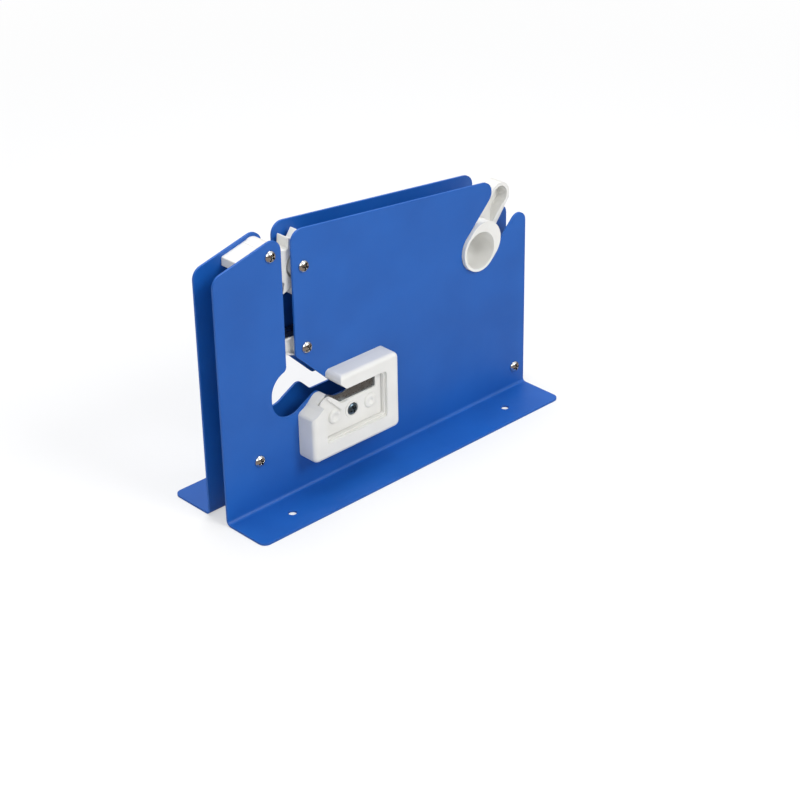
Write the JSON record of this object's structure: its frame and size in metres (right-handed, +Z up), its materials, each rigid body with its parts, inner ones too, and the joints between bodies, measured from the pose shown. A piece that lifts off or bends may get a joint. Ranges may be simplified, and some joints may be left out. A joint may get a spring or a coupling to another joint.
{
  "type": "bag neck sealer",
  "caption": "Counter-top bag neck sealer: two upright bent plates with a neck slot, a toothed wheel, a sprung knife lever, a lift-out tape roll holder and a side trimmer.",
  "frame": {"origin": "middle of the foot, on the plane that the flanges stand on", "axes": "+X along the plates from the slot end to the roll end, +Y from the trimmer side to the back, +Z up"},
  "size_m": [0.265, 0.088, 0.1787],
  "materials": {
    "powder_coat": "satin blue powder coat",
    "chromed_steel": "bright chrome plate",
    "white_moulding": "satin white injection moulding",
    "zinc_steel": "bright zinc plate",
    "knife_steel": "ground blade steel",
    "spring_steel": "drawn spring wire",
    "dark_screw": "dark blued steel"
  },
  "bodies": {
    "frame": {"front_plate": "powder_coat", "back_plate": "powder_coat", "front_screws": "chromed_steel", "back_screws": "chromed_steel", "entry_guide": "white_moulding", "guide_spacer": "zinc_steel", "left_spacer": "zinc_steel", "right_spacer": "zinc_steel", "wheel_axle": "zinc_steel", "wheel_washers": "zinc_steel", "lever_axle": "zinc_steel", "lever_spring": "spring_steel", "stop_pin": "zinc_steel", "trimmer_guard": "white_moulding", "blade_clamp": "white_moulding", "trimmer_blade": "knife_steel", "clamp_screw": "dark_screw", "clamp_nut": "zinc_steel"},
    "wheel": {"tooth_wheel": "white_moulding"},
    "lever": {"knife_lever": "white_moulding", "knife_blade": "knife_steel", "knife_rivets": "zinc_steel"},
    "holder": {"roll_holder": "white_moulding"}
  },
  "joints": [
    {"name": "wheel_spin", "type": "hinge", "parent": "frame", "child": "wheel", "pos_m": [-0.063, 0, 0.1539], "axis": [0, 1, 0], "continuous": true},
    {"name": "lever_swing", "type": "hinge", "parent": "frame", "child": "lever", "pos_m": [-0.0631, 0, 0.099], "axis": [0, -1, 0], "range_deg": [0, 65], "stiffness_Nm_per_rad": 0.015, "springref_deg": -38.22, "deforming": ["lever_spring"]},
    {"name": "holder_lift", "type": "slide", "parent": "frame", "child": "holder", "axis": [0.7071, 0, 0.7071], "range_m": [0, 0.055]}
  ]
}
